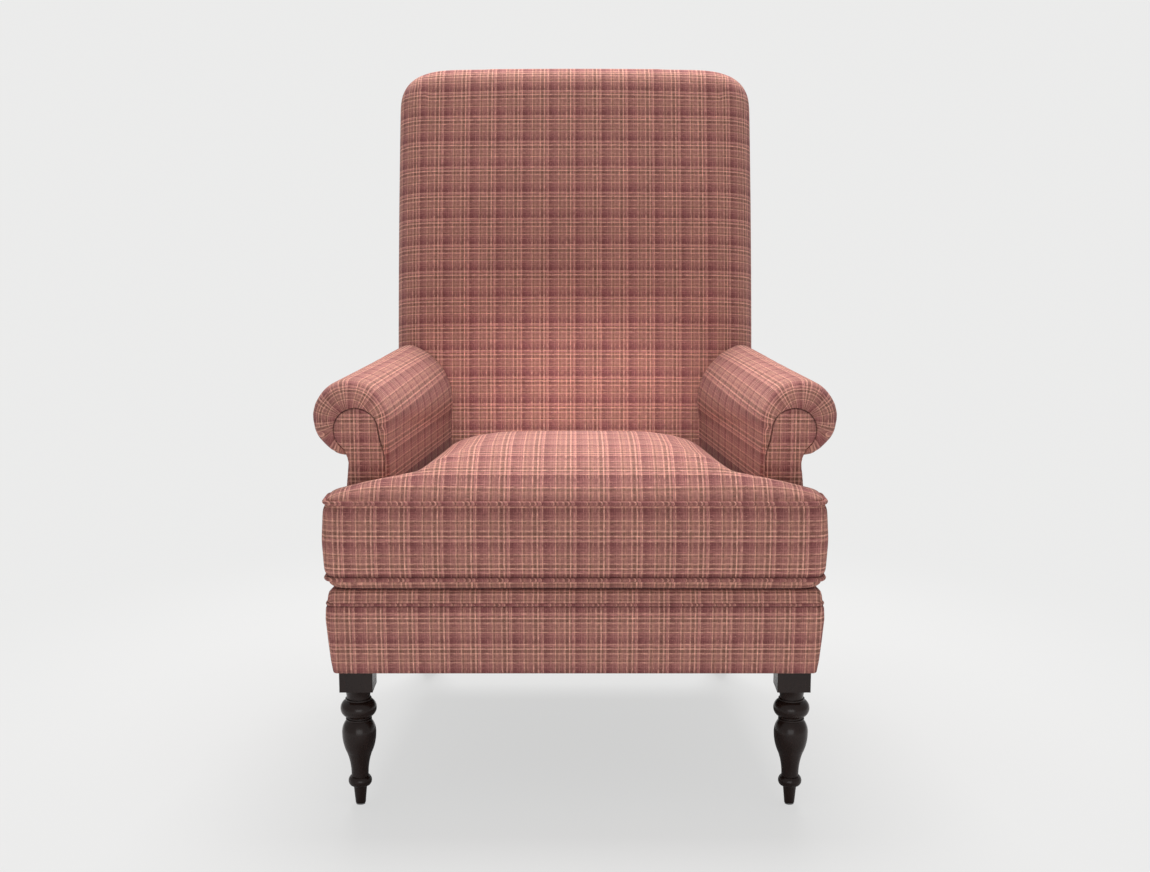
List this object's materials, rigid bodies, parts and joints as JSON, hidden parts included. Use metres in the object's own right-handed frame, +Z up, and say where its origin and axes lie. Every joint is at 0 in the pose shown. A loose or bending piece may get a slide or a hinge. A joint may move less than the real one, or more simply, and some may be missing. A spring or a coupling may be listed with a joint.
{
  "type": "fireside chair",
  "caption": "Upholstered fireside armchair with scroll arms, a high leaning back, a loose T-shaped seat cushion in plaid fabric and turned wooden front legs.",
  "frame": {"origin": "on the floor under the middle of the chair's overall box", "axes": "+Z up, the front faces -Y, +X to the right as seen from the front"},
  "size_m": [0.752, 0.8061, 1.079],
  "materials": {
    "leg_wood": "dark espresso stain, gloss lacquer",
    "frame_wood": "raw beech",
    "steel": "bright drawn steel",
    "glide_steel": "nickel-plated domed glide",
    "hessian": "open jute weave",
    "dust_cloth": "thin black spun-bonded cloth",
    "zip_tape": "woven tape with a nylon coil",
    "zip_brass": "polished",
    "deck_cloth": "plain upholstery lining over felt",
    "plaid_wool": "woven wool plaid, red, brown and pink, matt"
  },
  "bodies": {
    "chair": {"arm_facing_left": "plaid_wool", "arm_facing_right": "plaid_wool", "arm_pad_left": "plaid_wool", "arm_pad_right": "plaid_wool", "arm_stump_left": "frame_wood", "arm_stump_right": "frame_wood", "arm_tack_rail_left": "frame_wood", "arm_tack_rail_right": "frame_wood", "arm_top_rail_left": "frame_wood", "arm_top_rail_right": "frame_wood", "back_hessian": "hessian", "back_leg_left": "leg_wood", "back_leg_right": "leg_wood", "back_lower_rail": "frame_wood", "back_post_left": "frame_wood", "back_post_right": "frame_wood", "back_rail": "frame_wood", "back_top_rail": "frame_wood", "back_webbing": "hessian", "base_piping": "plaid_wool", "corner_block_screws": "steel", "corner_blocks": "frame_wood", "deck_pad": "deck_cloth", "dust_cover": "dust_cloth", "frame_dowels": "frame_wood", "front_border": "plaid_wool", "front_leg_left": "leg_wood", "front_leg_right": "leg_wood", "front_rail": "frame_wood", "inside_back_pad": "plaid_wool", "leg_bolts": "steel", "leg_glides": "glide_steel", "leg_inserts": "steel", "outside_arm_left": "plaid_wool", "outside_arm_right": "plaid_wool", "outside_back": "plaid_wool", "seat_hessian": "hessian", "seat_lip": "plaid_wool", "seat_springs": "steel", "side_rail_left": "frame_wood", "side_rail_right": "frame_wood", "spring_clips": "steel"},
    "seat_cushion": {"seat_cushion": "plaid_wool", "cushion_piping_top": "plaid_wool", "cushion_piping_bottom": "plaid_wool", "cushion_zip": "zip_tape"},
    "zip_slider": {"zip_slider": "zip_brass"}
  },
  "joints": [
    {"name": "cushion_lift", "type": "slide", "parent": "chair", "child": "seat_cushion", "axis": [0, 0, 1], "range_m": [0, 0.3]},
    {"name": "zip_slide", "type": "slide", "parent": "seat_cushion", "child": "zip_slider", "axis": [1, 0, 0], "range_m": [0, 0.286]}
  ]
}
